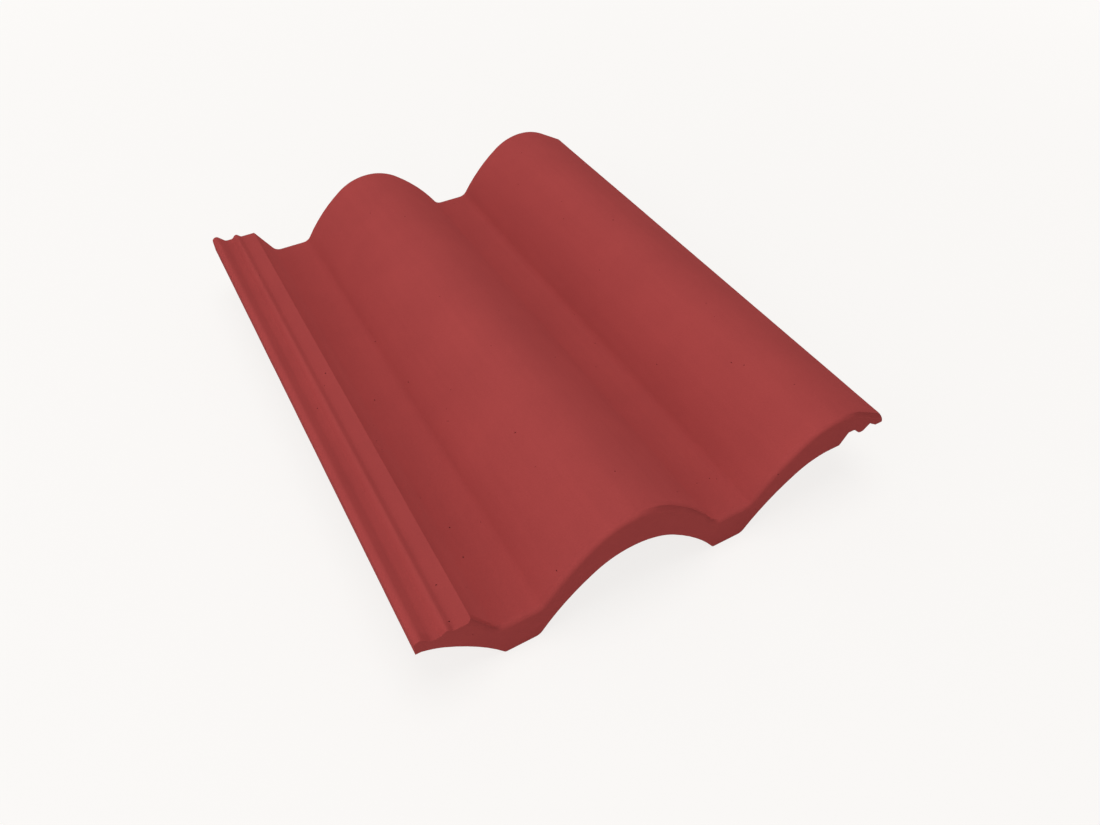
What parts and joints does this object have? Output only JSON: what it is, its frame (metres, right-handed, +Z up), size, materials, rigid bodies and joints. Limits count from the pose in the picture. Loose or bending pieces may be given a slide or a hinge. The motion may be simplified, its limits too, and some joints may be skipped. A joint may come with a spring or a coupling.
{
  "type": "concrete roof tile",
  "caption": "Interlocking concrete roof tile with rounded waves and flat valleys, a grooved side lock, an overlapping side lap, a thick rounded nose and batten nibs below.",
  "frame": {"origin": "under the middle of the tile, at the level of the nose bar and the nibs' feet that it rests on", "axes": "+X across the tile from the lock to the lap, +Y from the nose up to the head, +Z up"},
  "size_m": [0.33, 0.42, 0.0743],
  "materials": {
    "concrete": "matte brick-red through-coloured concrete with fine sand grain and a few pinholes"
  },
  "bodies": {
    "root": {"roof_tile": "concrete"}
  },
  "joints": []
}
